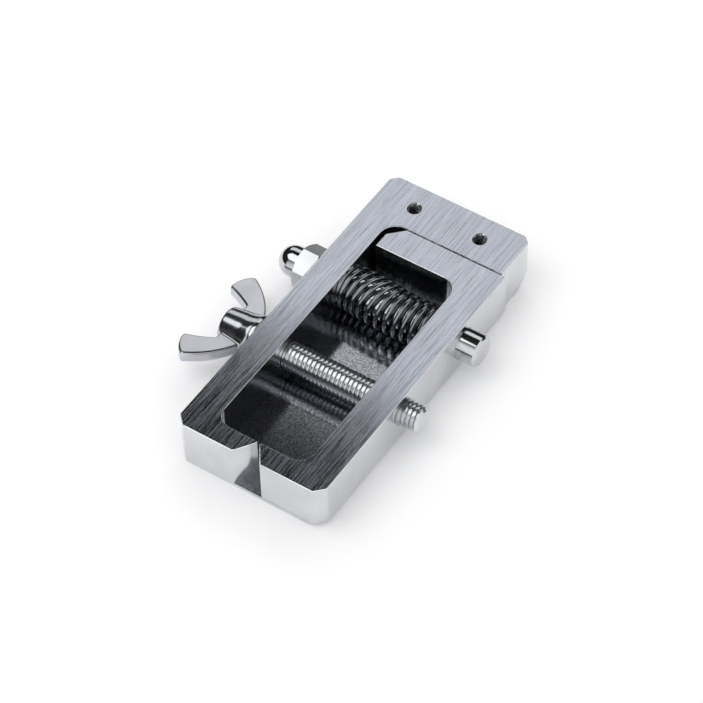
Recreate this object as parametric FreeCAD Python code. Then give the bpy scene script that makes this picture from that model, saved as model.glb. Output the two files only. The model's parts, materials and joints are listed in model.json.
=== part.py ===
import FreeCAD, Part
import math
import os

# Small two-jaw vice grip for pull tests. A C-shaped steel frame carries one jaw, and a
# hook-shaped block that slides across it carries the other. A guide pin and a threaded
# draw rod cross the window between them. A wing nut on the rod pulls the jaws together,
# and a compression spring round the pin pushes them apart.
#
# Millimetres. X runs along the rod and the pin, from the wing nut to the sliding jaw.
# Y runs along the grip, from the jaws to the mounting band. Z is up. The origin is on the
# underside, in the middle of the frame's length and width.

# Frame, a bar of steel with a window milled through it
frame_width = 34.0
frame_length = 79.0
frame_thickness = 10.4
side_wall = 6.8
mounting_band = 11.7
jaw_depth = 4.7
window_radius = 3.5
corner_chamfer = 2.2
rear_corner_chamfer = 1.5
corner_softening = 1.0
rear_round = 8.0
edge_break = 0.2

# Jaw tips and the V-shaped mouth between them
jaw_gap = 0.6
tip_land = 0.4
mouth_run = 3.0

# Sliding jaw, a hook that closes the open side of the frame
arm_width = 7.0
arm_overhang = 1.0
hook_width = 7.0
hook_end_gap = 1.05
hook_chamfer = 3.2
hook_radius = 3.8
slide_clearance = 0.06

# Bottom plate and its flat-head screws
plate_thickness = 0.8
plate_screw_diameter = 2.0
plate_screw_length = 4.0
plate_screw_head = 3.8
plate_screw_inset = 3.4
plate_screw_from_front = 7.5
plate_screw_from_parting = 2.1
recess_width = 0.45
recess_depth = 0.5

# Guide pin across the window, with its thread and cap nut on the left
pin_from_parting = 15.9
pin_diameter = 7.0
pin_reach = 4.4
pin_end_chamfer = 0.35
pin_thread_diameter = 5.0

# Clearances, each taken all round; threads are drawn plain at their outer diameter
running_clearance = 0.05
thread_clearance = 0.02
hole_clearance = 0.2

# Cap nut
nut_flats = 9.0
nut_height = 4.4
nut_edge_chamfer = 0.5
dome_diameter = 6.9
dome_reach = 9.75
nut_bore_depth = 7.5
pin_thread_in_nut = 6.0

# Draw rod, screwed into the sliding jaw
rod_diameter = 6.0
rod_from_front = 29.9
rod_reach = 4.3
rod_end_chamfer = 0.6
rod_in_wing_nut = 6.7

# Washer under the wing nut
washer_diameter = 10.5
washer_thickness = 1.0
washer_edge = 0.2

# Wing nut
wing_nut_height = 7.4
hub_diameter = 7.8
flange_diameter = 9.6
flange_height = 0.7
flare_height = 2.6
hub_taper = 0.25
hub_edge_radius = 0.5
wing_reach = 13.3
wing_height = 12.4
wing_reach_at_top = 8.1
wing_height_at_reach = 9.6
wing_root_reach = 5.3
wing_root_low = 1.6
wing_root_high = 6.4
wing_neck_reach = 5.4
wing_low_bow = 0.85
wing_tip_bow = 0.75
wing_high_bow = -0.2
wing_thickness = 2.6
wing_edge_chamfer = 0.35
wing_turn = -4.5

# Compression spring round the guide pin
spring_wire = 1.0
spring_room = 0.1
spring_turns = 12
closed_turns = 1
closed_coil_gap = 0.02
spring_steps = 16
wire_sides = 6

# Tapped holes in the mounting band
band_hole_spacing = 16.0
band_hole_from_rear = 5.9
band_tap_diameter = 2.5
band_hole_depth = 8.0
band_countersink = 3.4

# Places that several pieces share
left_face = -frame_width / 2
right_face = frame_width / 2
front_face = -frame_length / 2
rear_face = frame_length / 2
frame_bottom = plate_thickness
frame_top = frame_bottom + frame_thickness
axis_height = frame_bottom + frame_thickness / 2
spring_diameter = frame_thickness - 2 * spring_room
window_left = left_face + side_wall
window_front = front_face + jaw_depth
parting_line = rear_face - mounting_band
fixed_tip = 0.0
moving_tip = fixed_tip + jaw_gap
arm_outside = right_face + arm_overhang
arm_inside = arm_outside - arm_width
pin_y = parting_line - pin_from_parting
rod_y = front_face + rod_from_front

# How far a shape that cuts runs past the metal, and how close counts as the same height
past_metal = 1.0
same_height = 1e-6

X_AXIS = FreeCAD.Vector(1, 0, 0)
Y_AXIS = FreeCAD.Vector(0, 1, 0)
Z_AXIS = FreeCAD.Vector(0, 0, 1)


def at(x, y, z=0.0):
    return FreeCAD.Vector(x, y, z)


def rounded_outline(corners):
    """A closed wire through (x, y, radius) corners; radius 0 leaves a corner sharp."""
    edges = []
    count = len(corners)
    starts, ends, middles = [], [], []
    for i in range(count):
        x, y, radius = corners[i]
        here = at(x, y)
        before = (at(*corners[i - 1][:2]) - here).normalize()
        after = (at(*corners[(i + 1) % count][:2]) - here).normalize()
        half_angle = before.getAngle(after) / 2
        cut_back = radius / math.tan(half_angle)
        centre_line = (before + after).normalize()
        middle = here + centre_line * (radius / math.sin(half_angle) - radius)
        starts.append(here + before * cut_back)
        ends.append(here + after * cut_back)
        middles.append(middle)
    for i in range(count):
        if corners[i][2] > 0:
            edges.append(Part.Arc(starts[i], middles[i], ends[i]).toShape())
        following = starts[(i + 1) % count]
        edges.append(Part.LineSegment(ends[i], following).toShape())
    return Part.Wire(edges)


def slab(corners, bottom, top):
    """The outline raised from bottom to top."""
    face = Part.Face(rounded_outline(corners))
    solid = face.extrude(Z_AXIS * (top - bottom))
    solid.translate(at(0, 0, bottom))
    return solid


def edges_at_height(solid, height):
    """The edges that lie flat at one height."""
    found = []
    for edge in solid.Edges:
        box = edge.BoundBox
        if abs(box.ZMin - height) < same_height and abs(box.ZMax - height) < same_height:
            found.append(edge)
    return found


def bowed(start, end, bow):
    """An arc in the XY plane that leaves its chord by the bow, to the right of its way."""
    along = (end - start).normalize()
    middle = (start + end) * 0.5 + along.cross(Z_AXIS) * bow
    return Part.Arc(start, middle, end).toShape()


def rounded_rear(solid):
    """Rounds the lower rear edge of whatever reaches the rear face."""
    low = rear_face - rear_round
    middle = rear_round * math.sin(math.radians(45))
    corner = Part.Wire([
        Part.Arc(at(0, low), at(0, low + middle, rear_round - middle),
                 at(0, rear_face, rear_round)).toShape(),
        Part.LineSegment(at(0, rear_face, rear_round), at(0, rear_face, -past_metal)).toShape(),
        Part.LineSegment(at(0, rear_face, -past_metal), at(0, low, -past_metal)).toShape(),
        Part.LineSegment(at(0, low, -past_metal), at(0, low)).toShape(),
    ])
    waste = Part.Face(corner).extrude(X_AXIS * (frame_width + 2 * past_metal))
    waste.translate(at(left_face - past_metal, 0))
    return solid.cut(waste)


def rod_along_x(diameter, start, end, y, z):
    return Part.makeCylinder(diameter / 2, end - start, at(start, y, z), X_AXIS)


def turned_along_x(profile, y, z):
    """Turns (x, radius) points about an axis along X at y and z."""
    points = [at(x, radius) for x, radius in profile]
    wire = Part.makePolygon(points + [points[0]])
    solid = Part.Face(wire).revolve(at(0, 0), X_AXIS, 360)
    solid.translate(at(0, y, z))
    return solid


def save(name, shape):
    """Writes one sub-part. Every solid in it is closed and valid."""
    solids = [shape.removeSplitter()] if len(shape.Solids) == 1 else shape.Solids
    result = solids[0] if len(solids) == 1 else Part.makeCompound(solids)
    result.exportStep("parts/" + name + ".step")
    print(name, "solids", len(result.Solids), "valid", result.isValid(),
          "volume", round(result.Volume, 1))


def band_hole_places():
    y = rear_face - band_hole_from_rear
    return [at(side * band_hole_spacing / 2, y) for side in (-1, 1)]


def plate_screw_places():
    """Two screws in the side wall, clear of the cross bores, and two in the mounting band."""
    wall_x = left_face + plate_screw_inset
    rear_y = parting_line + plate_screw_from_parting
    between_bores = (rod_y + pin_y) / 2
    return [
        at(wall_x, front_face + plate_screw_from_front),
        at(wall_x, between_bores),
        at(wall_x, rear_y),
        at(-wall_x, rear_y),
    ]


def plate_screw(place, clearance=0.0):
    """A flat-head screw pointing up; with a clearance it is the hole that the screw fills."""
    head_radius = plate_screw_head / 2 + clearance
    shank_radius = plate_screw_diameter / 2 + clearance
    head_height = head_radius - shank_radius
    head = Part.makeCone(head_radius, shank_radius, head_height, place, Z_AXIS)
    shank = Part.makeCylinder(shank_radius, plate_screw_length + clearance, place, Z_AXIS)
    return head.fuse(shank)


def make_frame():
    rear_left = left_face + rear_corner_chamfer
    rear_right = right_face - rear_corner_chamfer
    chamfer_rear = rear_face - rear_corner_chamfer
    corners = [
        (left_face + corner_chamfer, front_face, corner_softening),
        (fixed_tip - mouth_run, front_face, 0),
        (fixed_tip, window_front - tip_land, 0),
        (fixed_tip, window_front, 0),
        (window_left, window_front, window_radius),
        (window_left, parting_line, window_radius),
        (right_face, parting_line, 0),
        (right_face, chamfer_rear, corner_softening),
        (rear_right, rear_face, corner_softening),
        (rear_left, rear_face, corner_softening),
        (left_face, chamfer_rear, corner_softening),
        (left_face, front_face + corner_chamfer, corner_softening),
    ]
    body = slab(corners, frame_bottom, frame_top)
    body = body.makeChamfer(edge_break, edges_at_height(body, frame_top))
    body = rounded_rear(body)

    # cross holes through the side wall
    rod_hole = rod_diameter + 2 * hole_clearance
    pin_hole = pin_thread_diameter + 2 * thread_clearance
    outside = left_face - past_metal
    inside = window_left + past_metal
    body = body.cut(rod_along_x(rod_hole, outside, inside, rod_y, axis_height))
    body = body.cut(rod_along_x(pin_hole, outside, inside, pin_y, axis_height))

    # tapped holes in the mounting band, each with a small countersink
    for place in band_hole_places():
        top = place + Z_AXIS * frame_top
        body = body.cut(Part.makeCylinder(band_tap_diameter / 2, band_hole_depth, top, -Z_AXIS))
        sink = (band_countersink - band_tap_diameter) / 2
        body = body.cut(Part.makeCone(band_countersink / 2, band_tap_diameter / 2, sink,
                                      top, -Z_AXIS))
    for place in plate_screw_places():
        body = body.cut(plate_screw(place, thread_clearance))
    return body


def make_sliding_jaw():
    hook_back = parting_line - slide_clearance
    hook_end = window_left + hook_end_gap
    hook_front = parting_line - hook_width
    corners = [
        (moving_tip + mouth_run, front_face, 0),
        (arm_outside - corner_chamfer, front_face, corner_softening),
        (arm_outside, front_face + corner_chamfer, corner_softening),
        (arm_outside, hook_back, 0),
        (hook_end + hook_chamfer, hook_back, 0),
        (hook_end, hook_back - hook_chamfer, 0),
        (hook_end, hook_front, 0),
        (arm_inside, hook_front, hook_radius),
        (arm_inside, window_front, window_radius),
        (moving_tip, window_front, 0),
        (moving_tip, window_front - tip_land, 0),
    ]
    body = slab(corners, frame_bottom + slide_clearance, frame_top)
    body = body.makeChamfer(edge_break, edges_at_height(body, frame_top))
    pin_bore = pin_diameter + 2 * running_clearance
    rod_tap = rod_diameter + 2 * thread_clearance
    inside = arm_inside - past_metal
    outside = arm_outside + past_metal
    body = body.cut(rod_along_x(pin_bore, inside, outside, pin_y, axis_height))
    return body.cut(rod_along_x(rod_tap, inside, outside, rod_y, axis_height))


def make_base_plate():
    corners = [
        (left_face + corner_chamfer, front_face, corner_softening),
        (right_face - corner_chamfer, front_face, corner_softening),
        (right_face, front_face + corner_chamfer, corner_softening),
        (right_face, rear_face, 0),
        (left_face, rear_face, 0),
        (left_face, front_face + corner_chamfer, corner_softening),
    ]
    plate = rounded_rear(slab(corners, 0.0, plate_thickness))
    for place in plate_screw_places():
        plate = plate.cut(plate_screw(place, thread_clearance))
    return plate


def make_plate_screws():
    screws = []
    for place in plate_screw_places():
        screw = plate_screw(place)
        length = plate_screw_head / 2
        for turn in (0, 90):
            slot = Part.makeBox(length, recess_width, recess_depth,
                                place - at(length / 2, recess_width / 2))
            slot.rotate(place, Z_AXIS, turn)
            screw = screw.cut(slot)
        screws.append(screw)
    return Part.makeCompound(screws)


def make_guide_pin():
    far_end = arm_outside + pin_reach
    thread_end = left_face - pin_thread_in_nut
    radius = pin_diameter / 2
    thread_radius = pin_thread_diameter / 2
    return turned_along_x([
        (thread_end, 0),
        (thread_end, thread_radius - pin_end_chamfer),
        (thread_end + pin_end_chamfer, thread_radius),
        (window_left, thread_radius),
        (window_left, radius),
        (far_end - pin_end_chamfer, radius),
        (far_end, radius - pin_end_chamfer),
        (far_end, 0),
    ], pin_y, axis_height)


def make_cap_nut():
    corner_radius = nut_flats / math.sqrt(3)
    hexagon = [at(0, corner_radius * math.cos(math.radians(60 * i + 30)),
                  corner_radius * math.sin(math.radians(60 * i + 30))) for i in range(6)]
    prism = Part.Face(Part.makePolygon(hexagon + [hexagon[0]])).extrude(-X_AXIS * nut_height)
    chamfer_run = nut_edge_chamfer / math.tan(math.radians(30))
    turned_edge = turned_along_x([
        (0, 0),
        (0, corner_radius - chamfer_run / 2),
        (-nut_edge_chamfer / 2, corner_radius),
        (-nut_height + nut_edge_chamfer, corner_radius),
        (-nut_height, corner_radius - chamfer_run),
        (-nut_height, 0),
    ], 0, 0)
    dome_radius = dome_diameter / 2
    dome_centre = -dome_reach + dome_radius
    ball = Part.makeSphere(dome_radius, at(dome_centre, 0))
    collar = rod_along_x(dome_diameter, dome_centre, -nut_height / 2, 0, 0)
    nut = prism.common(turned_edge).fuse([ball, collar])
    bore_radius = pin_thread_diameter / 2 + thread_clearance
    nut = nut.cut(Part.makeCylinder(bore_radius, nut_bore_depth, at(0, 0), -X_AXIS))
    nut.translate(at(left_face, pin_y, axis_height))
    return nut


def make_draw_rod():
    near_end = left_face - washer_thickness - rod_in_wing_nut
    far_end = arm_outside + rod_reach
    radius = rod_diameter / 2
    return turned_along_x([
        (near_end, 0),
        (near_end, radius - rod_end_chamfer),
        (near_end + rod_end_chamfer, radius),
        (far_end - rod_end_chamfer, radius),
        (far_end, radius - rod_end_chamfer),
        (far_end, 0),
    ], rod_y, axis_height)


def make_washer():
    inner = rod_diameter / 2 + hole_clearance
    outer = washer_diameter / 2
    return turned_along_x([
        (left_face - washer_thickness, inner),
        (left_face - washer_thickness, outer - washer_edge),
        (left_face - washer_thickness + washer_edge, outer),
        (left_face - washer_edge, outer),
        (left_face, outer - washer_edge),
        (left_face, inner),
    ], rod_y, axis_height)


def make_wing_nut():
    """A forged wing nut: a flared hub with two wings that rise away from its seat."""
    hub_radius = hub_diameter / 2
    hub = turned_along_x([
        (0, 0),
        (0, flange_diameter / 2),
        (-flange_height, flange_diameter / 2),
        (-flare_height, hub_radius + hub_taper),
        (-wing_nut_height + hub_edge_radius, hub_radius),
        (-wing_nut_height, hub_radius - hub_edge_radius),
        (-wing_nut_height, 0),
    ], 0, 0)

    # one wing in plan, as (distance up from the seat, distance out from the axis)
    inner_low = at(-flange_height, hub_radius / 2)
    root_low = at(-wing_root_low, wing_root_reach)
    low_corner = at(-wing_height_at_reach, wing_reach)
    high_corner = at(-wing_height, wing_reach_at_top)
    root_high = at(-wing_root_high, wing_neck_reach)
    inner_high = at(-wing_root_high, hub_radius / 2)
    outline = Part.Wire([
        Part.LineSegment(inner_low, root_low).toShape(),
        bowed(root_low, low_corner, wing_low_bow),
        bowed(low_corner, high_corner, wing_tip_bow),
        bowed(high_corner, root_high, wing_high_bow),
        Part.LineSegment(root_high, inner_high).toShape(),
        Part.LineSegment(inner_high, inner_low).toShape(),
    ])
    wing = Part.Face(outline).extrude(Z_AXIS * wing_thickness)
    wing.translate(Z_AXIS * (-wing_thickness / 2))
    rims = []
    for height in (-wing_thickness / 2, wing_thickness / 2):
        for edge in edges_at_height(wing, height):
            if edge.CenterOfMass.y > hub_radius:
                rims.append(edge)
    wing = wing.makeChamfer(wing_edge_chamfer, rims)
    other_wing = wing.mirror(at(0, 0), Y_AXIS)
    nut = hub.fuse([wing, other_wing])
    bore_radius = rod_diameter / 2 + running_clearance
    nut = nut.cut(Part.makeCylinder(bore_radius, wing_nut_height, at(0, 0), -X_AXIS))
    nut.rotate(at(0, 0), X_AXIS, wing_turn)
    nut.translate(at(left_face - washer_thickness, rod_y, axis_height))
    return nut


def coil_rise(turn, length):
    """How far along its axis the spring's wire has come after so many turns."""
    closed_rise = closed_turns * (spring_wire + closed_coil_gap)
    open_turns = spring_turns - 2 * closed_turns
    if turn < closed_turns:
        return closed_rise * turn / closed_turns
    if turn > spring_turns - closed_turns:
        return length - closed_rise * (spring_turns - turn) / closed_turns
    return closed_rise + (length - 2 * closed_rise) * (turn - closed_turns) / open_turns


def make_spring():
    """A left-hand spring with closed ends, ground flat where it bears on the wall and the arm.

    The round wire is drawn with flat sides, in short straight steps, to stay light.
    """
    length = arm_inside - window_left
    mean_radius = (spring_diameter - spring_wire) / 2
    path = []
    for i in range(spring_turns * spring_steps + 1):
        turn = i / spring_steps
        angle = math.pi - math.tau * turn
        path.append(at(coil_rise(turn, length), mean_radius * math.cos(angle),
                       mean_radius * math.sin(angle)))
    along = (path[1] - path[0]).normalize()
    sideways = along.cross(-Y_AXIS).normalize()
    outwards = sideways.cross(along)
    section = []
    for i in range(wire_sides + 1):
        angle = math.tau * (i + 0.5) / wire_sides
        around = outwards * math.cos(angle) + sideways * math.sin(angle)
        section.append(path[0] + around * (spring_wire / 2))
    mitred_corners = 1
    coil = Part.makePolygon(path).makePipeShell([Part.makePolygon(section)], True, True, mitred_corners)
    if not coil.Solids:
        raise ValueError("spring sweep made no solid")
    keep = Part.makeBox(length, spring_diameter * 2, spring_diameter * 2,
                        at(0, -spring_diameter, -spring_diameter))
    coil = coil.Solids[0].common(keep)
    coil.translate(at(window_left, pin_y, axis_height))
    return coil


os.makedirs("parts", exist_ok=True)
save("frame", make_frame())
save("base_plate", make_base_plate())
save("plate_screws", make_plate_screws())
save("sliding_jaw", make_sliding_jaw())
save("guide_pin", make_guide_pin())
save("cap_nut", make_cap_nut())
save("draw_rod", make_draw_rod())
save("washer", make_washer())
save("wing_nut", make_wing_nut())
save("spring", make_spring())
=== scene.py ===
import json
import math

import bpy
from mathutils import Matrix, Vector


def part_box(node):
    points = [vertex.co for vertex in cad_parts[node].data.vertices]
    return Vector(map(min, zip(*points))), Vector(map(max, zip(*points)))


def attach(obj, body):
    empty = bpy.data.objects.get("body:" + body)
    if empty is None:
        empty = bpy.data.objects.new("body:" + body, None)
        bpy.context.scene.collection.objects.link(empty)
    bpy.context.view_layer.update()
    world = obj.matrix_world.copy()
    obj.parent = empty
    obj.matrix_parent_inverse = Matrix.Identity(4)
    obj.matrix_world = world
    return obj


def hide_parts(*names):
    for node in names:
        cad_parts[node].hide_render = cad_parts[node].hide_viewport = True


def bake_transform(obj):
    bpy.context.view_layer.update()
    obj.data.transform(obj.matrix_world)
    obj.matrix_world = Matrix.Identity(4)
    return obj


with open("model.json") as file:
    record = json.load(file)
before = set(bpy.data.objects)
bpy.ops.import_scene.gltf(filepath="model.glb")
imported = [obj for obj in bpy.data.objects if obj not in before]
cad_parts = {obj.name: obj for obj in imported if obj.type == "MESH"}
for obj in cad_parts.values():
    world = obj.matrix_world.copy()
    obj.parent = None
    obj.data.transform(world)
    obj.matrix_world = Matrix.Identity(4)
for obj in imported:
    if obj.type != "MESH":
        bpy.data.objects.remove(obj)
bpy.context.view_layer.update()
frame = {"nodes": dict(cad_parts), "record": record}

MM = 0.001


# View
# A long lens looks down at the grip from the front right. The camera stands about 0.7 m
# away, so the far end looks only a little smaller than the jaws.
view_azimuth = math.radians(35.234)
view_elevation = math.radians(49.633)
view_roll = math.radians(-1.956)
view_distance = 689.9 * MM
view_target = Vector((-0.1, -1.9, 5.6)) * MM
lens_focal_length = 174.9
sensor_width = 36.0
clip_near = 0.01
clip_far = 20.0

flat_right = Vector((math.cos(view_azimuth), math.sin(view_azimuth), 0))
view_back = Vector((math.sin(view_azimuth) * math.cos(view_elevation),
                    -math.cos(view_azimuth) * math.cos(view_elevation),
                    math.sin(view_elevation)))
flat_up = view_back.cross(flat_right)
view_right = flat_right * math.cos(view_roll) + flat_up * math.sin(view_roll)
view_up = flat_up * math.cos(view_roll) - flat_right * math.sin(view_roll)
bpy.ops.object.camera_add()
camera = bpy.context.object
camera.name = "view"
camera.matrix_world = Matrix.Translation(view_target + view_back * view_distance) @ Matrix(
    (view_right, view_up, view_back)).transposed().to_4x4()
camera.data.lens = lens_focal_length
camera.data.sensor_width = sensor_width
camera.data.clip_start = clip_near
camera.data.clip_end = clip_far
bpy.context.scene.camera = camera


# Room
# The grip lies on a pale table in a light tent, with one soft box behind it at the left and
# one high at the front left. The steel mirrors a dark room where the tent is open: above, at
# the back left and over the far part of the table.
def linear(hex_colour):
    """Turns an sRGB hex colour into the linear red, green, blue and alpha of a socket."""
    channels = [int(hex_colour[i:i + 2], 16) / 255 for i in (1, 3, 5)]
    return [c / 12.92 if c <= 0.04045 else ((c + 0.055) / 1.055) ** 2.4 for c in channels] + [1.0]


def add_node(tree, kind, sockets=None, **settings):
    """Adds a node. A socket goes by its name, or by its number where two share a name.

    Its value is a number, a colour, or another node's output.
    """
    node = tree.nodes.new("ShaderNode" + kind)
    for name, value in settings.items():
        setattr(node, name, value)
    for name, value in (sockets or {}).items():
        if isinstance(value, bpy.types.NodeSocket):
            tree.links.new(value, node.inputs[name])
        else:
            node.inputs[name].default_value = value
    return node


def new_material(name):
    """An empty material with its output node."""
    material = bpy.data.materials.new(name)
    material.use_nodes = True
    material.node_tree.nodes.clear()
    return material, material.node_tree, add_node(material.node_tree, "OutputMaterial")


def deselect_all():
    """Leaves edit mode with nothing selected."""
    if bpy.context.object and bpy.context.object.mode != "OBJECT":
        bpy.ops.object.mode_set(mode="OBJECT")
    bpy.ops.object.select_all(action="DESELECT")


def select_only(piece):
    deselect_all()
    piece.select_set(True)
    bpy.context.view_layer.objects.active = piece


bpy.context.scene.view_settings.view_transform = "Standard"

room_radius = 3.0
table_colour = "#F4F4F5"
table_glow = 0.12
room_dark = 0.012
far_table_dark = 0.3
dark_from_y = 55 * MM
dark_to_y = 80 * MM
deselect_all()
bpy.ops.mesh.primitive_circle_add(vertices=96, radius=room_radius, fill_type="NGON")
table = bpy.context.object
table.name = "table"
# matt white paper: a little glow keeps it white to the camera and in the steel's reflections,
# and it still takes the grip's soft shadow
table_material, tree, output = new_material("white_paper_table")
rays = add_node(tree, "LightPath")
camera_or_gloss = add_node(tree, "Math", {0: rays.outputs["Is Camera Ray"],
                                          1: rays.outputs["Is Glossy Ray"]}, operation="MAXIMUM")
seen = add_node(tree, "Math", {0: camera_or_gloss.outputs[0], 1: rays.outputs["Is Transmission Ray"]},
                operation="MAXIMUM")
glow = add_node(tree, "Math", {0: seen.outputs[0], 1: table_glow}, operation="MULTIPLY")
paper = add_node(tree, "BsdfPrincipled", {
    "Base Color": linear(table_colour), "Roughness": 0.9, "Specular IOR Level": 0.2,
    "Emission Color": linear(table_colour), "Emission Strength": glow.outputs[0]})
place = add_node(tree, "TexCoord")
along = add_node(tree, "SeparateXYZ", {"Vector": place.outputs["Object"]})
far_behind = add_node(tree, "MapRange", {"Value": along.outputs["Y"], "From Min": dark_from_y,
                                         "From Max": dark_to_y})
dark_in_gloss = add_node(tree, "Math", {0: far_behind.outputs[0], 1: rays.outputs["Is Glossy Ray"]},
                         operation="MULTIPLY")
dark_room = add_node(tree, "Emission", {"Strength": far_table_dark})
table_or_room = add_node(tree, "MixShader", {0: dark_in_gloss.outputs[0], 1: paper.outputs[0],
                                             2: dark_room.outputs[0]})
tree.links.new(table_or_room.outputs[0], output.inputs["Surface"])
table.data.materials.append(table_material)

sky_white = 1.0
sky_light = 0.8
roof_edge_low = math.sin(math.radians(40))
roof_edge_high = math.sin(math.radians(68))
open_azimuth = math.radians(140)
open_side = (math.cos(open_azimuth), math.sin(open_azimuth), 0.0)
# cosines of the angle from the open side, between which a side panel fades to the dark room
panel_ends = -0.28
opening_starts = -0.08
world = bpy.data.worlds.new("light_tent")
bpy.context.scene.world = world
world.use_nodes = True
tree = world.node_tree
tree.nodes.clear()
rays = add_node(tree, "LightPath")
direction = add_node(tree, "TexCoord")
height = add_node(tree, "SeparateXYZ", {"Vector": direction.outputs["Generated"]})
panel_height = add_node(tree, "MapRange", {
    "Value": height.outputs["Z"], "From Min": roof_edge_low, "From Max": roof_edge_high,
    "To Min": sky_white, "To Max": 0.0})
towards_open = add_node(tree, "VectorMath", {0: direction.outputs["Generated"], 1: open_side},
                        operation="DOT_PRODUCT")
panel_side = add_node(tree, "MapRange", {"Value": towards_open.outputs["Value"], "From Min": panel_ends,
                                         "From Max": opening_starts, "To Min": 1.0, "To Max": 0.0})
panels = add_node(tree, "Math", {0: panel_height.outputs[0], 1: panel_side.outputs[0]},
                  operation="MULTIPLY")
tent = add_node(tree, "Math", {0: panels.outputs[0], 1: room_dark}, operation="ADD")
seen_gloss = add_node(tree, "Math", {0: rays.outputs["Is Glossy Ray"],
                                     1: rays.outputs["Is Transmission Ray"]}, operation="MAXIMUM")
gloss_level = add_node(tree, "Mix", {0: seen_gloss.outputs[0], 2: sky_light, 3: tent.outputs[0]})
all_levels = add_node(tree, "Mix", {0: rays.outputs["Is Camera Ray"], 2: gloss_level.outputs[0],
                                    3: sky_white})
background = add_node(tree, "Background", {"Color": (1, 1, 1, 1), "Strength": all_levels.outputs[0]})
output = add_node(tree, "OutputWorld", {"Surface": background.outputs[0]})


def soft_box(name, azimuth, elevation, roll, distance, width, height, watts):
    """A rectangular lamp that faces the grip. Its direction and roll are in degrees."""
    turn, tilt = math.radians(azimuth), math.radians(elevation)
    away = Vector((math.cos(turn) * math.cos(tilt), math.sin(turn) * math.cos(tilt), math.sin(tilt)))
    deselect_all()
    bpy.ops.object.light_add(type="AREA", location=away * distance)
    lamp = bpy.context.object
    lamp.name = name
    facing = away.to_track_quat("Z", "Y").to_matrix() @ Matrix.Rotation(math.radians(roll), 3, "Z")
    lamp.rotation_euler = facing.to_euler()
    lamp.data.shape = "RECTANGLE"
    lamp.data.size = width
    lamp.data.size_y = height
    lamp.data.energy = watts


soft_box("soft_box_back", azimuth=115.5, elevation=42, roll=-27, distance=0.45,
         width=0.5, height=0.2, watts=0.29)
soft_box("soft_box_above", azimuth=213, elevation=62, roll=0, distance=0.5,
         width=0.34, height=0.34, watts=0.55)


# Frame
# A C-shaped bar of stainless steel, milled all round and ground along its length on top.
# It carries the left jaw, the side wall with the two cross holes, and the mounting band
# with two tapped holes for the stand.
cad_weld = 0.002 * MM
weld = 0.001 * MM
flat_angle = math.radians(0.3)


def edit_all(piece):
    """Goes into edit mode with the whole piece selected."""
    select_only(piece)
    bpy.ops.object.mode_set(mode="EDIT")
    bpy.ops.mesh.select_all(action="SELECT")


def cad_copy(node, name):
    """A copy of a CAD node with its loose triangles joined up and its flat faces whole."""
    piece = frame["nodes"][node].copy()
    piece.data = piece.data.copy()
    piece.name = name
    piece.data.name = name
    piece.parent = None
    for key in list(piece.keys()):
        del piece[key]
    bpy.context.scene.collection.objects.link(piece)
    piece.data.materials.clear()
    select_only(piece)
    if piece.data.has_custom_normals:
        bpy.ops.mesh.customdata_custom_splitnormals_clear()
    edit_all(piece)
    bpy.ops.mesh.remove_doubles(threshold=cad_weld)
    bpy.ops.mesh.dissolve_limited(angle_limit=flat_angle)
    bpy.ops.object.mode_set(mode="OBJECT")
    return piece


def apply_modifier(piece, kind, **settings):
    """Adds a modifier with these settings and applies it."""
    select_only(piece)
    modifier = piece.modifiers.new(kind.lower(), kind)
    for name, value in settings.items():
        setattr(modifier, name, value)
    bpy.ops.object.modifier_apply(modifier=modifier.name)


def smooth_by_angle(piece, degrees):
    """Smooth shading on round stretches, with every edge sharper than the angle kept crisp."""
    select_only(piece)
    bpy.ops.object.shade_smooth_by_angle(angle=math.radians(degrees))


def soften_edges(piece):
    """Shades the narrow chamfers round, while the wide faces beside them stay flat."""
    smooth_by_angle(piece, 50)
    apply_modifier(piece, "WEIGHTED_NORMAL", mode="FACE_AREA", weight=100, keep_sharp=True)


def drawn_line(name, points):
    """A chain of edges drawn as by hand: one vertex, extruded from point to point."""
    deselect_all()
    bpy.ops.mesh.primitive_plane_add(size=MM, location=points[0])
    line = bpy.context.object
    line.name = name
    edit_all(line)
    bpy.ops.mesh.merge(type="CENTER")
    for here, there in zip(points, points[1:]):
        bpy.ops.mesh.extrude_region_move(TRANSFORM_OT_translate={"value": Vector(there) - Vector(here)})
    bpy.ops.object.mode_set(mode="OBJECT")
    bpy.ops.object.transform_apply(location=True, rotation=True, scale=True)
    return line


def combine(piece, other, operation):
    """Cuts, joins or keeps the shared part of two closed pieces, and removes the second."""
    apply_modifier(piece, "BOOLEAN", object=other, operation=operation, solver="EXACT")
    bpy.data.objects.remove(other)


def close_and_face_out(piece):
    """Welds seams and poles shut, and turns every face outwards."""
    edit_all(piece)
    bpy.ops.mesh.remove_doubles(threshold=weld)
    bpy.ops.mesh.normals_make_consistent(inside=False)
    bpy.ops.object.mode_set(mode="OBJECT")


# one rolled tooth, as (share of the pitch, share of the depth): narrow root, broad round crest
tooth_shape = [(0.0, 0.0), (0.13, 0.0), (0.3, 0.93), (0.565, 1.0), (0.83, 0.93), (1.0, 0.0)]


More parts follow.
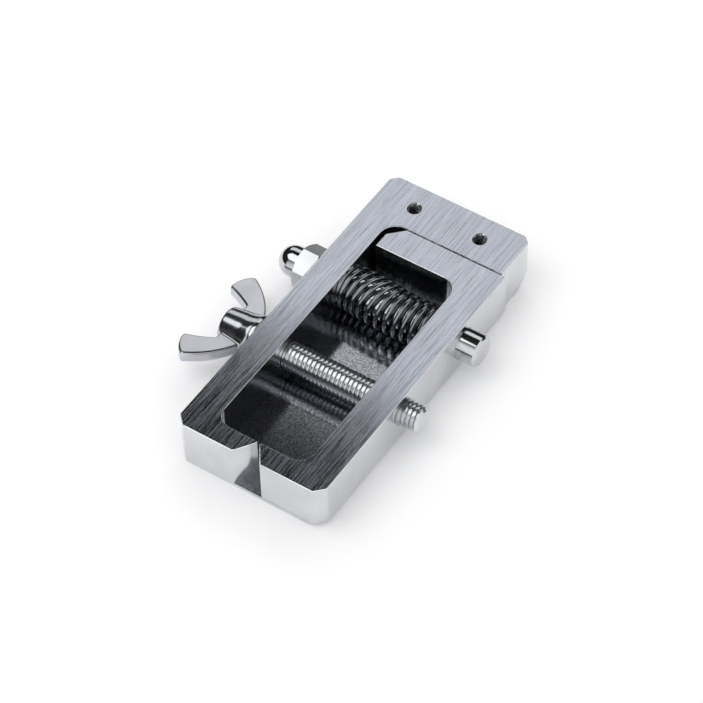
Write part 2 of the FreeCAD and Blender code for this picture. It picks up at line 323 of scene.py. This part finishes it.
def screw_thread(name, start, length, pitch, outer_radius, depth, steps):
    """A threaded bar along X from start, closed by a flat face at both ends."""
    inner_radius = outer_radius - depth
    tooth = [(share * pitch, inner_radius + height * depth) for share, height in tooth_shape]
    turns = math.ceil(length / pitch) + 2
    line = drawn_line(name, [Vector((start.x - pitch + along, start.y, start.z + radius))
                             for along, radius in tooth])
    # the tooth is wound about an axis through the origin, so it is moved there and back
    line.data.transform(Matrix.Translation((0, -start.y, -start.z)))
    apply_modifier(line, "SCREW", axis="X", angle=math.tau, screw_offset=pitch, iterations=turns,
                   steps=steps, render_steps=steps, use_merge_vertices=True, merge_threshold=weld,
                   use_smooth_shade=True)
    line.data.transform(Matrix.Translation((0, start.y, start.z)))
    edit_all(line)
    bpy.ops.mesh.remove_doubles(threshold=weld)
    for cut_at, away in ((start.x, -1), (start.x + length, 1)):
        bpy.ops.mesh.select_all(action="SELECT")
        bpy.ops.mesh.bisect(plane_co=(cut_at, 0, 0), plane_no=(away, 0, 0), use_fill=True,
                            clear_outer=True, threshold=0.1 * weld)
    close_and_face_out(line)
    return line


band_holes = [m for m in frame["record"]["mounts"] if m["name"] == "band_holes"][0]
band_centre = Vector(band_holes["pos_m"])
hole_spacing = band_holes["dims"]["spacing_x_mm"] * MM
tap_depth = 8.0 * MM
tap_pitch = 0.5 * MM
tap_radius = 1.5 * MM
tap_thread_depth = 0.27 * MM

body = cad_copy("frame", "c_frame")
# each tap stands one pitch proud of the face, so that its flat end doesn't lie in it
for side in (-1, 1):
    tap = screw_thread("tap", Vector((-tap_pitch, 0, 0)), tap_depth + tap_pitch, tap_pitch, tap_radius,
                       tap_thread_depth, steps=32)
    tap.data.transform(Matrix.Rotation(math.radians(90), 4, "Y"))
    tap.data.transform(Matrix.Translation(band_centre + Vector((side * hole_spacing / 2, 0, 0))))
    combine(body, tap, "DIFFERENCE")
close_and_face_out(body)


# Ground stainless steel: a belt leaves fine parallel lines along the length. They spread a
# reflection across the lines and keep it sharp along them, so the far end is light and the
# near end dark, with single lines that shine. The real lines are finer than the render can
# show, so these are drawn coarser.
def ground_steel(name, line_gap, line_length, colour_low, colour_high, rough_low, rough_high, depth):
    """Colour and roughness run from low to high between the lines, which are cut to the depth."""
    material, tree, output = new_material(name)
    place = add_node(tree, "TexCoord")
    fine = add_node(tree, "Mapping", {"Vector": place.outputs["Object"],
                                      "Scale": (1 / line_gap, 1 / line_length, 1 / line_length)})
    fine_lines = add_node(tree, "TexNoise", {"Vector": fine.outputs[0], "Scale": 1.0, "Detail": 3.0,
                                             "Roughness": 0.65})
    coarse = add_node(tree, "Mapping", {"Vector": place.outputs["Object"], "Location": (3.1, 1.7, 0.0),
                                        "Scale": (0.3 / line_gap, 0.6 / line_length, 0.6 / line_length)})
    coarse_lines = add_node(tree, "TexNoise", {"Vector": coarse.outputs[0], "Scale": 1.0, "Detail": 2.0,
                                               "Roughness": 0.5})
    both = add_node(tree, "Mix", {0: 0.4, 2: fine_lines.outputs["Fac"], 3: coarse_lines.outputs["Fac"]})
    tone = add_node(tree, "MapRange", {"Value": both.outputs[0], "From Min": 0.35, "From Max": 0.65})
    colour = add_node(tree, "Mix", {0: tone.outputs[0], 6: linear(colour_low), 7: linear(colour_high)},
                      data_type="RGBA")
    rough = add_node(tree, "MapRange", {"Value": fine_lines.outputs["Fac"], "From Min": 0.42,
                                        "From Max": 0.72, "To Min": rough_low, "To Max": rough_high})
    bump = add_node(tree, "Bump", {"Height": both.outputs[0], "Strength": 1.0, "Distance": depth})
    across = add_node(tree, "CombineXYZ", {"X": 1.0})
    steel = add_node(tree, "BsdfPrincipled", {
        "Base Color": colour.outputs[2], "Metallic": 1.0, "Roughness": rough.outputs[0],
        "Anisotropic": 1.0, "Tangent": across.outputs[0], "Normal": bump.outputs[0]})
    tree.links.new(steel.outputs[0], output.inputs["Surface"])
    return material


# Fine-milled and polished stainless steel: nearly a mirror, with a faint even grain.
def polished_steel(name, colour_low, colour_high, rough_low, rough_high, grain, depth,
                   cloud_size=8 * MM):
    """Roughness follows the grain, which has the depth, and colour follows the larger clouds."""
    material, tree, output = new_material(name)
    place = add_node(tree, "TexCoord")
    scaled = add_node(tree, "Mapping", {"Vector": place.outputs["Object"],
                                        "Scale": (1 / grain, 1 / grain, 1 / grain)})
    noise = add_node(tree, "TexNoise", {"Vector": scaled.outputs[0], "Scale": 1.0, "Detail": 3.0,
                                        "Roughness": 0.6})
    clouds = add_node(tree, "Mapping", {"Vector": place.outputs["Object"],
                                        "Scale": (1 / cloud_size, 1 / cloud_size, 1 / cloud_size)})
    cloud = add_node(tree, "TexNoise", {"Vector": clouds.outputs[0], "Scale": 1.0, "Detail": 2.0})
    tone = add_node(tree, "MapRange", {"Value": cloud.outputs["Fac"], "From Min": 0.35, "From Max": 0.65})
    colour = add_node(tree, "Mix", {0: tone.outputs[0], 6: linear(colour_low), 7: linear(colour_high)},
                      data_type="RGBA")
    rough = add_node(tree, "MapRange", {"Value": noise.outputs["Fac"], "From Min": 0.3, "From Max": 0.7,
                                        "To Min": rough_low, "To Max": rough_high})
    bump = add_node(tree, "Bump", {"Height": noise.outputs["Fac"], "Strength": 1.0, "Distance": depth})
    steel = add_node(tree, "BsdfPrincipled", {
        "Base Color": colour.outputs[2], "Metallic": 1.0, "Roughness": rough.outputs[0],
        "Normal": bump.outputs[0]})
    tree.links.new(steel.outputs[0], output.inputs["Surface"])
    return material


# fine lines along the grip on top, and an even, nearly mirror-bright finish on the sides
line_gap = 0.24 * MM
line_length = 9 * MM
ground_top = ground_steel("ground_stainless_steel", line_gap, line_length, "#B4B9C5", "#D6DAE4",
                          0.14, 0.48, 0.03 * MM)
milled_side = polished_steel("milled_stainless_steel", "#D2D4D6", "#DCDEE0", 0.12, 0.2, 0.25 * MM,
                             0.0006 * MM)
# the narrow chamfers get a lighter colour than the faces beside them, with the same finish: a painted
# highlight, drawn as a thin bright outline
edge_painted_highlight_steel = polished_steel("polished_steel_painted_highlight_edge", "#F2F4F6", "#FAFBFC", 0.12, 0.2, 0.25 * MM,
                            0.0004 * MM)
# the parting line's edges were ground sharp against each other; their chamfers and the tapped holes get
# painted shade: a dark, dull colour that stands in for the shade in the seam and the holes
seam_painted_shade_steel = polished_steel("seam_and_hole_painted_shade_steel", "#46484D", "#BCBEC2", 0.35, 0.5, 0.4 * MM,
                            0.001 * MM, 0.6 * MM)

seam_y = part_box("sliding_jaw")[1].y
top_slot, side_slot, painted_highlight_slot, painted_shade_slot = range(4)
# how far up a face's normal points, and how far below the top, from the seam or outside a
# hole's wall the face may lie
level = 0.99
chamfer_low = 0.3
chamfer_high = 0.9
top_band = 0.05 * MM
chamfer_band = 0.3 * MM
seam_band = 0.2 * MM
hole_slack = 0.05 * MM


def top_and_sides(piece):
    """Ground steel on top, a painted highlight on its chamfers and painted shade on those at the seam,
    milled steel elsewhere.
    """
    for material in (ground_top, milled_side, edge_painted_highlight_steel, seam_painted_shade_steel):
        piece.data.materials.append(material)
    highest = max(v.co.z for v in piece.data.vertices)
    for face in piece.data.polygons:
        is_edge = chamfer_low < face.normal.z < chamfer_high and face.center.z > highest - chamfer_band
        faces_jaws = face.normal.y < -0.5
        face.material_index = side_slot
        if face.normal.z > level and face.center.z > highest - top_band:
            face.material_index = top_slot
        # the chamfers at the parting line: painted shade
        elif is_edge and faces_jaws and abs(face.center.y - seam_y) < seam_band:
            face.material_index = painted_shade_slot
        # the other top chamfers: painted highlight
        elif is_edge:
            face.material_index = painted_highlight_slot


top_and_sides(body)
# painted shade in the tapped holes: their walls take the seam's dark colour
for face in body.data.polygons:
    from_hole = abs(abs(face.center.x - band_centre.x) - hole_spacing / 2)
    in_hole = math.hypot(from_hole, face.center.y - band_centre.y) < tap_radius + hole_slack
    if in_hole and face.material_index != top_slot:
        face.material_index = painted_shade_slot
soften_edges(body)
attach(body, "frame")
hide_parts("frame")


# Base plate and its screws
# A cold-rolled stainless sheet, 0.8 mm thick, is the window's floor. Four small flat-head
# screws hold it from below.
plate = cad_copy("base_plate", "floor_plate")
# bright cold-rolled sheet: the rolls leave a fine mottle that breaks up what it mirrors
plate_steel = polished_steel("cold_rolled_stainless_sheet", "#80838A", "#BCBFC6", 0.09, 0.16, 0.25 * MM,
                             0.0026 * MM, 0.32 * MM)
plate.data.materials.append(plate_steel)
plate.data.materials.append(milled_side)
for face in plate.data.polygons:
    is_rolled = abs(face.normal.z) > 0.7
    face.material_index = 0 if is_rolled else 1
smooth_by_angle(plate, 25)
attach(plate, "frame")
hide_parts("base_plate")

screws = cad_copy("plate_screws", "flat_head_screws")
# machined stainless steel: fine tool marks soften its shine
screw_steel = polished_steel("machined_stainless_steel", "#B4B6BA", "#C6C8CB", 0.16, 0.26, 0.2 * MM,
                             0.001 * MM)
screws.data.materials.append(screw_steel)
smooth_by_angle(screws, 25)
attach(screws, "frame")
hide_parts("plate_screws")


# Sliding jaw
# The hook-shaped block is ground together with the frame, so the lines run on across the
# parting line. It slides along the guide pin.
hook = cad_copy("sliding_jaw", "hook_jaw")
top_and_sides(hook)
soften_edges(hook)
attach(hook, "jaw")
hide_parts("sliding_jaw")


# Guide pin
# A turned and polished steel pin. Its shoulder seats against the side wall, a cap nut
# holds its thread outside, and its plain end stands out of the sliding jaw.
def turned(name, profile, y, z, steps):
    """Spins a profile of (x, radius) points about an axis along X at y and z."""
    line = drawn_line(name, [Vector((x, 0, radius)) for x, radius in profile])
    edit_all(line)
    bpy.ops.mesh.spin(steps=steps, angle=math.tau, center=(0, 0, 0), axis=(1, 0, 0))
    bpy.ops.object.mode_set(mode="OBJECT")
    line.data.transform(Matrix.Translation((0, y, z)))
    close_and_face_out(line)
    return line


pin_low, pin_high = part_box("guide_pin")
spring_low, spring_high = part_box("spring")
pin_y = (pin_low.y + pin_high.y) / 2
axis_z = (pin_low.z + pin_high.z) / 2
pin_radius = (pin_high.z - pin_low.z) / 2
pin_thread_radius = 2.5 * MM
shoulder_x = spring_low.x
end_chamfer = 0.35 * MM
end_round = 0.08 * MM
end_bulge = 0.3 * end_round
pin = turned("guide_shaft", [
    (pin_low.x, 0.0),
    (pin_low.x, pin_thread_radius - end_chamfer),
    (pin_low.x + end_chamfer, pin_thread_radius),
    (shoulder_x, pin_thread_radius),
    (shoulder_x, pin_radius),
    (pin_high.x - end_chamfer - end_round, pin_radius),
    (pin_high.x - end_chamfer, pin_radius - end_bulge),
    (pin_high.x - end_bulge, pin_radius - end_chamfer),
    (pin_high.x, pin_radius - end_chamfer - end_round),
    (pin_high.x, 0.0),
], pin_y, axis_z, steps=96)
# polished bar: almost a mirror, which draws the tent as sharp stripes along the pin
pin_steel = polished_steel("polished_stainless_bar", "#C9CBCE", "#D6D8DA", 0.07, 0.13, 0.4 * MM,
                           0.0004 * MM)
pin.data.materials.append(pin_steel)
smooth_by_angle(pin, 25)
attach(pin, "frame")
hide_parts("guide_pin")


# Spring
# Bright spring wire, 1 mm thick, wound left-handed round the pin. Its end turns are closed
# and ground flat, and its middle bows and leans a little, as a compressed spring does.
wire_radius = 0.5 * MM
coil_radius = (spring_high.z - spring_low.z) / 2 - wire_radius
spring_length = spring_high.x - spring_low.x
spring_turns = 12
closed_turns = 1
closed_pitch = 2.04 * wire_radius
steps_per_turn = 40
rounding_steps = 4
bow_height = 0.45 * MM
bow_wave = 1.4 * math.pi
# the turns lean most at this share of the spring's length, and less on both sides of it
steepest_lean = 0.3
lean_place = 0.31
lean_spread = 0.22


def coil_rise(turn):
    """How far along the axis the wire has come after so many turns, from 0 to 1."""
    closed_rise = closed_turns * closed_pitch / spring_length
    if turn < closed_turns:
        return closed_rise * turn / closed_turns
    if turn > spring_turns - closed_turns:
        return 1 - closed_rise * (spring_turns - turn) / closed_turns
    share = (turn - closed_turns) / (spring_turns - 2 * closed_turns)
    return closed_rise + (1 - 2 * closed_rise) * share


deselect_all()
wire_curve = bpy.data.curves.new("pressure_spring", "CURVE")
wire_curve.dimensions = "3D"
wire = wire_curve.splines.new("POLY")
point_count = spring_turns * steps_per_turn + 1
wire.points.add(point_count - 1)
for i in range(point_count):
    turn = i / steps_per_turn
    angle = math.pi - turn * math.tau
    rise = coil_rise(turn)
    bow = bow_height * math.cos(bow_wave * rise)
    lean = steepest_lean * math.exp(-((rise - lean_place) / lean_spread) ** 2)
    across = coil_radius * math.cos(angle)
    wire.points[i].co = (spring_low.x + spring_length * rise + lean * across, pin_y + across + bow,
                         axis_z + coil_radius * math.sin(angle), 1.0)
wire_curve.bevel_depth = wire_radius
wire_curve.bevel_resolution = rounding_steps
wire_curve.use_fill_caps = True
spring = bpy.data.objects.new("pressure_spring", wire_curve)
bpy.context.scene.collection.objects.link(spring)
select_only(spring)
bpy.ops.object.convert(target="MESH")
spring = bpy.context.object
close_and_face_out(spring)
clear_of_coils = coil_radius * 1.5
ground_length = turned("ground_length", [
    (spring_low.x, 0.0),
    (spring_low.x, clear_of_coils),
    (spring_high.x, clear_of_coils),
    (spring_high.x, 0.0),
], pin_y, axis_z, steps=32)
combine(spring, ground_length, "INTERSECT")
# drawn spring wire: smooth and darker than the block, with one thin line of light on each turn
wire_steel = polished_steel("drawn_spring_wire", "#888A8E", "#9C9EA3", 0.12, 0.2, 0.3 * MM, 0.0006 * MM)
spring.data.materials.clear()
spring.data.materials.append(wire_steel)
smooth_by_angle(spring, 35)
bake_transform(spring)
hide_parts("spring")


# Draw rod
# A length of M6 threaded rod, with one thread each millimetre and both ends chamfered. It
# is screwed fast into the sliding jaw's arm.
rod_low, rod_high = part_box("draw_rod")
rod_y = (rod_low.y + rod_high.y) / 2
rod_radius = (rod_high.z - rod_low.z) / 2
rod_pitch = 1.0 * MM
rod_thread_depth = 0.433 * MM
rod_chamfer = 0.6 * MM
blank_radius = rod_radius + 0.05 * MM
rod = screw_thread("draw_screw", Vector((rod_low.x, rod_y, axis_z)), rod_high.x - rod_low.x, rod_pitch,
                   rod_radius, rod_thread_depth, steps=48)
blank = turned("rod_blank", [
    (rod_low.x, 0.0),
    (rod_low.x, rod_radius - rod_chamfer),
    (rod_low.x + rod_chamfer, blank_radius),
    (rod_high.x - rod_chamfer, blank_radius),
    (rod_high.x, rod_radius - rod_chamfer),
    (rod_high.x, 0.0),
], rod_y, axis_z, steps=64)
combine(rod, blank, "INTERSECT")
# rolled thread: the dies press its crests smooth, so each is a bead with one soft light
rod_steel = polished_steel("rolled_thread_steel", "#CACCCF", "#DADCDE", 0.18, 0.27, 0.3 * MM,
                           0.0006 * MM)
rod.data.materials.append(rod_steel)
smooth_by_angle(rod, 42)
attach(rod, "jaw")
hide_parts("draw_rod")


# Washer
# A stamped flat washer lies between the wing nut and the wall. Tumbling has rounded its
# outer edges, and it is nickel plated.
def arc(x, radius, size, first, last, count):
    """Points on the round of a turned profile, with angles in degrees from +X."""
    angles = [math.radians(first + (last - first) * i / count) for i in range(count + 1)]
    return [(x + size * math.cos(a), radius + size * math.sin(a)) for a in angles]


washer_low, washer_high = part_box("washer")
washer_radius = (washer_high.z - washer_low.z) / 2
washer_hole = rod_radius + 0.2 * MM
washer_edge = 0.2 * MM
washer_profile = [(washer_low.x, washer_hole)]
washer_profile += arc(washer_low.x + washer_edge, washer_radius - washer_edge, washer_edge, 180, 90, 4)
washer_profile += arc(washer_high.x - washer_edge, washer_radius - washer_edge, washer_edge, 90, 0, 4)
washer_profile += [(washer_high.x, washer_hole), (washer_low.x, washer_hole)]
washer = turned("flat_washer", washer_profile, rod_y, axis_z, steps=72)
# bright nickel plate: a clear, cool mirror with hardly any grain
plated_steel = polished_steel("nickel_plated_steel", "#C4C6C9", "#D2D4D6", 0.07, 0.14, 0.35 * MM,
                              0.0006 * MM)
washer.data.materials.append(plated_steel)
smooth_by_angle(washer, 30)
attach(washer, "frame")
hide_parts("washer")


# Wing nut
# A forged wing nut with a flared seat and two broad wings. The forging leaves every edge
# round and lets the wings flow into the hub.
seat_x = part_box("wing_nut")[1].x
hub_height = 7.4 * MM
hub_radius = 3.9 * MM
flange_radius = 4.8 * MM
flange_height = 0.7 * MM
flange_slope = 0.7 * MM
flare_spread = 0.75 * MM
flare_height = 2.6 * MM
collar_spread = 0.5 * MM
hub_round = 0.5 * MM
wing_thickness = 2.6 * MM
bore_radius = rod_radius + 0.05 * MM
hub_profile = [
    (seat_x, 0.0),
    (seat_x, flange_radius),
    (seat_x - flange_height, flange_radius),
    (seat_x - flange_height - flange_slope, hub_radius + flare_spread),
    (seat_x - flare_height, hub_radius + collar_spread),
]
hub_profile += arc(seat_x - hub_height + hub_round, hub_radius - hub_round, hub_round, 90, 180, 5)
hub_profile += [(seat_x - hub_height, 0.0)]
hub = turned("wing_nut_forged", hub_profile, 0, 0, steps=96)


def bowed(start, end, bow, count):
    """Points from start to end on a curve that leaves its chord by the bow, to the right."""
    start, end = Vector(start), Vector(end)
    along = (end - start).normalized()
    pull = (start + end) / 2 + Vector((along.y, -along.x)) * 2 * bow
    shares = [i / count for i in range(count + 1)]
    return [start * (1 - t) ** 2 + pull * 2 * t * (1 - t) + end * t * t for t in shares]


# one wing in plan, as (distance from the seat, distance from the axis)
inner_low = (-flange_height, hub_radius / 2)
root_low = (-1.6 * MM, 5.3 * MM)
low_corner = (-9.6 * MM, 13.3 * MM)
high_corner = (-12.4 * MM, 8.1 * MM)
root_high = (-6.4 * MM, 5.4 * MM)
inner_high = (-6.4 * MM, hub_radius / 2)
lower_bow = 0.85 * MM
tip_bow = 0.75 * MM
upper_bow = -0.2 * MM
outline = [inner_low]
outline += bowed(root_low, low_corner, lower_bow, 10)
outline += bowed(low_corner, high_corner, tip_bow, 8)[1:]
outline += bowed(high_corner, root_high, upper_bow, 8)[1:]
outline += [inner_high]
edge_round = 0.35 * MM
for side in (-1, 1):
    wing = drawn_line("wing", [Vector((seat_x + x, side * y, -wing_thickness / 2)) for x, y in outline])
    edit_all(wing)
    bpy.ops.mesh.edge_face_add()
    bpy.ops.mesh.extrude_region_move(TRANSFORM_OT_translate={"value": (0, 0, wing_thickness)})
    bpy.ops.mesh.select_all(action="SELECT")
    bpy.ops.mesh.normals_make_consistent(inside=False)
    bpy.ops.object.mode_set(mode="OBJECT")
    apply_modifier(wing, "BEVEL", width=edge_round, segments=3, limit_method="ANGLE",
                   angle_limit=math.radians(50))
    combine(hub, wing, "UNION")
# one skin over hub and wings, smoothed until the wings flow into the hub
skin_voxel = 0.14 * MM
smoothing_rounds = 16
apply_modifier(hub, "REMESH", mode="VOXEL", voxel_size=skin_voxel)
apply_modifier(hub, "SMOOTH", factor=0.5, iterations=smoothing_rounds)
drill_tip = seat_x - hub_height * 1.2
drill_end = seat_x + 1 * MM
drill = turned("drill", [
    (drill_tip, 0.0),
    (drill_tip, bore_radius),
    (drill_end, bore_radius),
    (drill_end, 0.0),
], 0, 0, steps=64)
combine(hub, drill, "DIFFERENCE")
wing_turn = math.radians(-4.5)
hub.data.transform(Matrix.Rotation(wing_turn, 4, "X"))
hub.data.transform(Matrix.Translation((0, rod_y, axis_z)))
# forged and tumbled stainless steel: smooth but a little wavy, with soft, wide lights
forged_steel = polished_steel("forged_stainless_steel", "#BFC1C7", "#CDCFD4", 0.13, 0.2, 0.5 * MM,
                              0.0003 * MM)
hub.data.materials.append(forged_steel)
smooth_by_angle(hub, 35)
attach(hub, "wing")
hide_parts("wing_nut")


# Cap nut
# A plated hexagon nut with a domed end closes the guide pin's thread. Its hexagon stands
# on one corner and is chamfered at both ends.
nut_low, nut_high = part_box("cap_nut")
nut_corner = (nut_high.z - nut_low.z) / 2
nut_height = 4.4 * MM
nut_chamfer = 0.5 * MM
chamfer_run = nut_chamfer / math.tan(math.radians(30))
dome_radius = 3.45 * MM
dome_centre = nut_low.x + dome_radius
nut_seat = nut_high.x
nut_end = nut_seat - nut_height
nut_middle = nut_seat - nut_height / 2
cone_radius = nut_corner + 0.01 * MM
nut_edge = 0.07 * MM
deselect_all()
bpy.ops.mesh.primitive_cylinder_add(vertices=6, radius=nut_corner, depth=nut_height)
hexagon = bpy.context.object
hexagon.name = "domed_nut"
hexagon.data.transform(Matrix.Rotation(math.radians(90), 4, "Y"))
hexagon.data.transform(Matrix.Rotation(math.radians(30), 4, "X"))
hexagon.data.transform(Matrix.Translation((nut_middle, pin_y, axis_z)))
edge_cone = turned("edge_cone", [
    (nut_seat, 0.0),
    (nut_seat, nut_corner - chamfer_run / 2),
    (nut_seat - nut_chamfer / 2, cone_radius),
    (nut_end + nut_chamfer, cone_radius),
    (nut_end, nut_corner - chamfer_run),
    (nut_end, 0.0),
], pin_y, axis_z, steps=96)
combine(hexagon, edge_cone, "INTERSECT")
dome_profile = [(nut_middle, 0.0), (nut_middle, dome_radius)]
dome_profile += arc(dome_centre, 0.0, dome_radius, 90, 180, 20)
dome = turned("dome", dome_profile, pin_y, axis_z, steps=96)
combine(hexagon, dome, "UNION")
hexagon.data.materials.clear()
hexagon.data.materials.append(plated_steel)
apply_modifier(hexagon, "BEVEL", width=nut_edge, segments=2, limit_method="ANGLE",
               angle_limit=math.radians(28))
close_and_face_out(hexagon)
smooth_by_angle(hexagon, 30)
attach(hexagon, "frame")
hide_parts("cap_nut")
